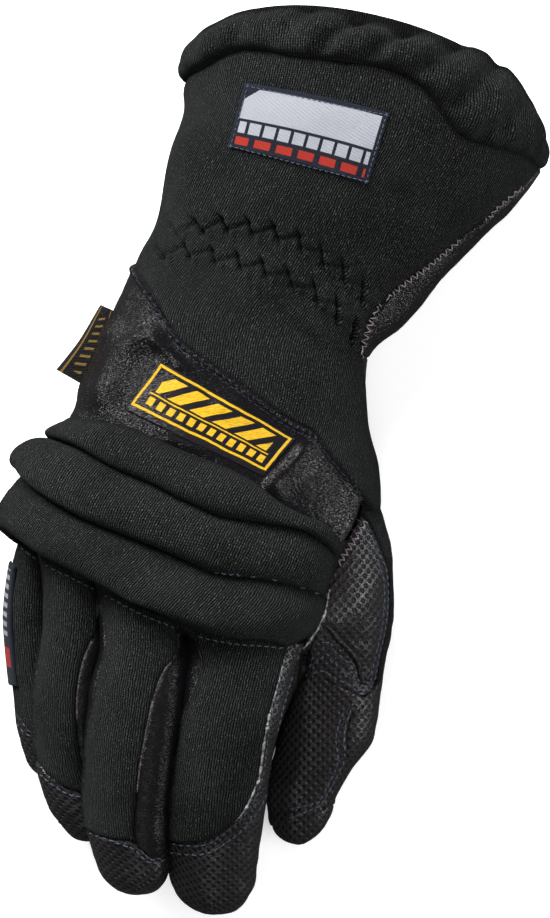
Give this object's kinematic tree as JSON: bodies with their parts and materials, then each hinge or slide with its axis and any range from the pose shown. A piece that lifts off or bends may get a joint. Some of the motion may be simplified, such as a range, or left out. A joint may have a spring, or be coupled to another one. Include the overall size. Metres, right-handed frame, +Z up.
{
  "type": "fire-resistant work glove",
  "caption": "Gauntlet work glove with a knitted back, leather palm and fingertips, padded knuckle rolls, a gathered wrist and a rolled cuff hem.",
  "frame": {"origin": "on the floor under the middle of the glove's box", "axes": "+Z up from the floor through the palm to the back of the hand; +Y from the fingertips to the cuff; +X towards the thumb side"},
  "size_m": [0.1963, 0.3188, 0.0798],
  "materials": {
    "knit": "matt heavy knit",
    "leather": "smooth grain, semi-gloss",
    "dimpled_leather": "dimpled grain, semi-gloss",
    "label_white": "woven",
    "label_dark": "woven",
    "badge_yellow": "printed"
  },
  "bodies": {
    "root": {"cuff_hem": "knit", "gauntlet_back": "knit", "gauntlet_palm": "leather", "palm": "dimpled_leather", "back_panel": "leather", "roll_upper": "knit", "roll_middle": "knit", "roll_lower": "knit", "cuff_label": "label_white", "badge": "badge_yellow", "side_tag": "label_dark", "pinky_label": "label_dark", "pinky_back": "knit", "pinky_front": "dimpled_leather", "pinky_tip": "dimpled_leather", "pinky_right_side": "leather", "ring_left_side": "leather", "ring_back": "knit", "ring_front": "dimpled_leather", "ring_tip": "dimpled_leather", "ring_right_side": "leather", "middle_left_side": "leather", "middle_back": "knit", "middle_front": "dimpled_leather", "middle_tip": "dimpled_leather", "middle_right_side": "leather", "index_left_side": "leather", "index_back": "knit", "index_front": "dimpled_leather", "index_tip": "dimpled_leather", "gusset": "dimpled_leather", "thumb_saddle": "leather", "thumb_back": "dimpled_leather", "thumb_strip": "knit", "thumb_front": "dimpled_leather", "thumb_tip": "dimpled_leather"}
  },
  "joints": []
}
